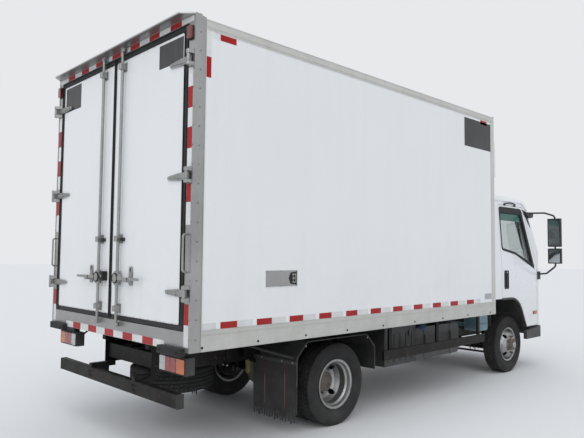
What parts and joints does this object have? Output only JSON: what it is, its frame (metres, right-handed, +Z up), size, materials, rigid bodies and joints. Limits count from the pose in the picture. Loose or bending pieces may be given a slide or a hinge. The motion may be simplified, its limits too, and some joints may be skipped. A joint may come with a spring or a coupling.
{
  "type": "refrigerated truck",
  "caption": "Cab-over light truck with an insulated box, nose-mounted cooling unit, rear door leaves, twin rear wheels, tilting cab and steered front wheels.",
  "frame": {"origin": "on the ground under the middle of the truck's overall length and width", "axes": "+Z up, -Y towards the cab, +X towards the driver's side"},
  "size_m": [2.7744, 6.84, 3.462],
  "materials": {
    "frame_black": "semi-gloss chassis paint, dusty",
    "under_grey": "rough casting",
    "engine_grey": "rough casting",
    "tank_black": "satin",
    "plastic_black": "grained",
    "exhaust_steel": "aluminised, heat stained",
    "reservoir": "translucent",
    "tyre": "matt rubber",
    "rim_grey": "satin grey, dirty",
    "lamp": "clear lens over red and amber",
    "head_lamp": "clear",
    "rubber": "matt",
    "body_white": "smooth laminate",
    "floor_alu": "ribbed",
    "stainless": "brushed",
    "rail_alu": "satin anodised",
    "unit_white": "smooth",
    "cab_white": "gloss",
    "glass": "lightly green",
    "trim_grey": "grained",
    "seat_fabric": "woven",
    "galvanised": "zinc plated"
  },
  "bodies": {
    "chassis": {"chassis_frame": "frame_black", "front_axle": "frame_black", "rear_axle": "frame_black", "leaf_springs": "frame_black", "engine_block": "engine_grey", "driveline": "under_grey", "fuel_tank": "tank_black", "battery_box": "plastic_black", "exhaust": "exhaust_steel", "coolant_reservoir": "reservoir", "spare_tyre": "tyre", "spare_rim": "rim_grey", "front_bumper": "plastic_black", "underrun_bar": "frame_black", "rear_lamps": "lamp", "mud_flaps": "rubber", "side_guards": "frame_black", "body_subframe": "frame_black", "body_floor": "floor_alu", "side_walls": "body_white", "front_wall": "body_white", "body_roof": "body_white", "rear_frame": "stainless", "body_rails": "rail_alu", "evaporator": "unit_white", "condenser": "unit_white"},
    "cab": {"cab_shell": "cab_white", "cab_front": "cab_white", "cab_glass": "glass", "dashboard": "trim_grey", "seats": "seat_fabric", "headlamps": "head_lamp", "mirrors": "plastic_black"},
    "steering_wheel": {"steering_wheel": "trim_grey"},
    "tie_rod": {"tie_rod": "frame_black"},
    "door_left": {"door_left": "cab_white", "door_glass_left": "glass"},
    "leaf_left": {"leaf_left": "body_white", "leaf_seal_left": "rubber", "leaf_gear_left": "galvanised"},
    "steer_left": {"knuckle_left": "under_grey"},
    "front_wheel_left": {"front_tyre_left": "tyre", "front_rim_left": "rim_grey"},
    "rear_wheels_left": {"rear_tyres_left": "tyre", "rear_rims_left": "rim_grey"},
    "door_right": {"door_right": "cab_white", "door_glass_right": "glass"},
    "leaf_right": {"leaf_right": "body_white", "leaf_seal_right": "rubber", "leaf_gear_right": "galvanised"},
    "steer_right": {"knuckle_right": "under_grey"},
    "front_wheel_right": {"front_tyre_right": "tyre", "front_rim_right": "rim_grey"},
    "rear_wheels_right": {"rear_tyres_right": "tyre", "rear_rims_right": "rim_grey"}
  },
  "joints": [
    {"name": "cab_tilt", "type": "hinge", "parent": "chassis", "child": "cab", "pos_m": [0, -3.27, 0.66], "axis": [1, 0, 0], "range_deg": [0, 45]},
    {"name": "door_left_open", "type": "hinge", "parent": "cab", "child": "door_left", "pos_m": [1.03, -3.037, 1.5], "axis": [0, 0, -1], "range_deg": [0, 66]},
    {"name": "leaf_left_open", "type": "hinge", "parent": "chassis", "child": "leaf_left", "pos_m": [1.23, 3.375, 2.22], "axis": [0, 0, -1], "range_deg": [0, 262]},
    {"name": "steer_left_turn", "type": "hinge", "parent": "chassis", "child": "steer_left", "pos_m": [0.7, -2.313, 0.3915], "axis": [0, 0, 1], "range_deg": [-38, 38]},
    {"name": "front_wheel_left_spin", "type": "hinge", "parent": "steer_left", "child": "front_wheel_left", "pos_m": [0.8325, -2.313, 0.3915], "axis": [1, 0, 0], "continuous": true},
    {"name": "rear_wheels_left_spin", "type": "hinge", "parent": "chassis", "child": "rear_wheels_left", "pos_m": [0.8225, 1.487, 0.3915], "axis": [1, 0, 0], "continuous": true},
    {"name": "door_right_open", "type": "hinge", "parent": "cab", "child": "door_right", "pos_m": [-1.03, -3.037, 1.5], "axis": [0, 0, 1], "range_deg": [0, 66]},
    {"name": "leaf_right_open", "type": "hinge", "parent": "chassis", "child": "leaf_right", "pos_m": [-1.23, 3.375, 2.22], "axis": [0, 0, 1], "range_deg": [0, 262]},
    {"name": "steer_right_turn", "type": "hinge", "parent": "chassis", "child": "steer_right", "pos_m": [-0.7, -2.313, 0.3915], "axis": [0, 0, 1], "range_deg": [-38, 38]},
    {"name": "front_wheel_right_spin", "type": "hinge", "parent": "steer_right", "child": "front_wheel_right", "pos_m": [-0.8325, -2.313, 0.3915], "axis": [1, 0, 0], "continuous": true},
    {"name": "rear_wheels_right_spin", "type": "hinge", "parent": "chassis", "child": "rear_wheels_right", "pos_m": [-0.8225, 1.487, 0.3915], "axis": [1, 0, 0], "continuous": true},
    {"name": "steering_wheel_turn", "type": "hinge", "parent": "cab", "child": "steering_wheel", "pos_m": [0.64, -2.69, 1.52], "axis": [0, 0.5269, 0.8499], "range_deg": [-608, 608]},
    {"name": "tie_rod_swing", "type": "hinge", "parent": "steer_left", "child": "tie_rod", "pos_m": [0.7, -2.073, 0.28], "axis": [0, 0, 1], "range_deg": [-38, 38]}
  ],
  "couplings": [
    {"joint": "steering_wheel_turn", "follows": "steer_left_turn", "ratio": 16},
    {"joint": "steer_right_turn", "follows": "steer_left_turn", "ratio": 1},
    {"joint": "tie_rod_swing", "follows": "steer_left_turn", "ratio": -1}
  ]
}
